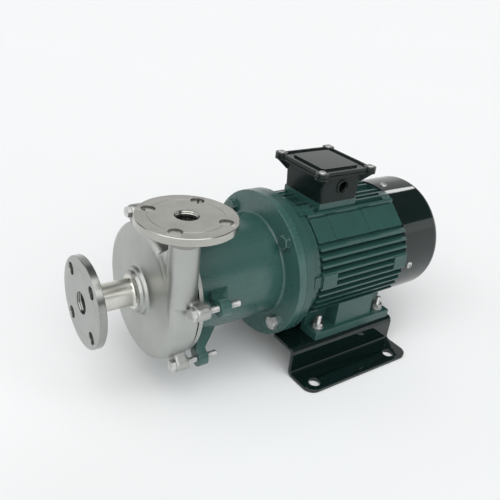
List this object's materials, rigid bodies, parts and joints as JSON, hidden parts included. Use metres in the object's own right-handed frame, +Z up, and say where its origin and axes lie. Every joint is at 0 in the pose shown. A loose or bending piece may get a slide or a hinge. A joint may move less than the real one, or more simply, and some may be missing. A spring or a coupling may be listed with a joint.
{
  "type": "magnetic drive pump",
  "caption": "Horizontal magnetic drive pump: stainless volute casing with flanged suction and discharge, sealed magnetic coupling and finned foot-mounted motor on a base plate.",
  "frame": {"origin": "on the floor, at the middle of the four holes of the base plate", "axes": "+X along the shaft from the suction flange to the fan, +Y to the far side, away from the discharge, +Z up"},
  "size_m": [0.402, 0.208, 0.214],
  "materials": {
    "stainless": "satin stainless steel",
    "green_paint": "semi-gloss dark green paint",
    "black_paint": "gloss black paint",
    "grey_paint": "dark grey paint",
    "zinc": "bright zinc-plated steel",
    "copper": "lacquered copper",
    "brass": "plain",
    "seal_rubber": "matt black",
    "ceramic": "dark sintered ceramic",
    "magnet": "plated magnet blocks",
    "lamination": "stacked sheet steel",
    "die_cast": "as cast",
    "black_plastic": "moulded"
  },
  "bodies": {
    "pump_body": {"base_plate": "black_paint", "motor_frame": "green_paint", "drive_end_shield": "green_paint", "rear_end_shield": "green_paint", "shield_screws": "zinc", "fan_cowl": "black_paint", "cowl_screws": "zinc", "stator_core": "lamination", "stator_windings": "copper", "terminal_box": "grey_paint", "terminal_gasket": "seal_rubber", "terminal_lid": "grey_paint", "lid_screws": "zinc", "terminal_board": "black_plastic", "terminal_studs": "brass", "foot_bolts": "zinc", "foot_washers": "zinc", "foot_nuts": "zinc", "bearing_outer_rings": "zinc", "bracket": "green_paint", "bracket_bolts": "green_paint", "pump_casing": "stainless", "casing_bolts": "zinc", "casing_gasket": "seal_rubber", "containment_shell": "stainless", "bearing_housing": "stainless", "front_bush": "ceramic", "rear_bush": "ceramic"},
    "motor_rotor": {"motor_shaft": "zinc", "rotor_core": "lamination", "rotor_cage": "die_cast", "bearing_inner_rings": "zinc", "bearing_balls": "zinc", "cooling_fan": "black_plastic", "fan_clip": "zinc", "drive_key": "zinc", "outer_rotor": "lamination", "outer_magnets": "magnet", "set_screw": "zinc"},
    "pump_rotor": {"pump_shaft": "stainless", "impeller": "stainless", "impeller_nut": "stainless", "front_thrust_ring": "ceramic", "rear_thrust_ring": "ceramic", "inner_rotor": "stainless", "inner_magnets": "magnet", "magnet_sleeve": "stainless"}
  },
  "joints": [
    {"name": "motor_spin", "type": "hinge", "parent": "pump_body", "child": "motor_rotor", "pos_m": [0, 0, 0.104], "axis": [1, 0, 0], "continuous": true},
    {"name": "pump_spin", "type": "hinge", "parent": "pump_body", "child": "pump_rotor", "pos_m": [-0.16, 0, 0.104], "axis": [1, 0, 0], "continuous": true}
  ],
  "couplings": [
    {"joint": "pump_spin", "follows": "motor_spin", "ratio": 1}
  ]
}
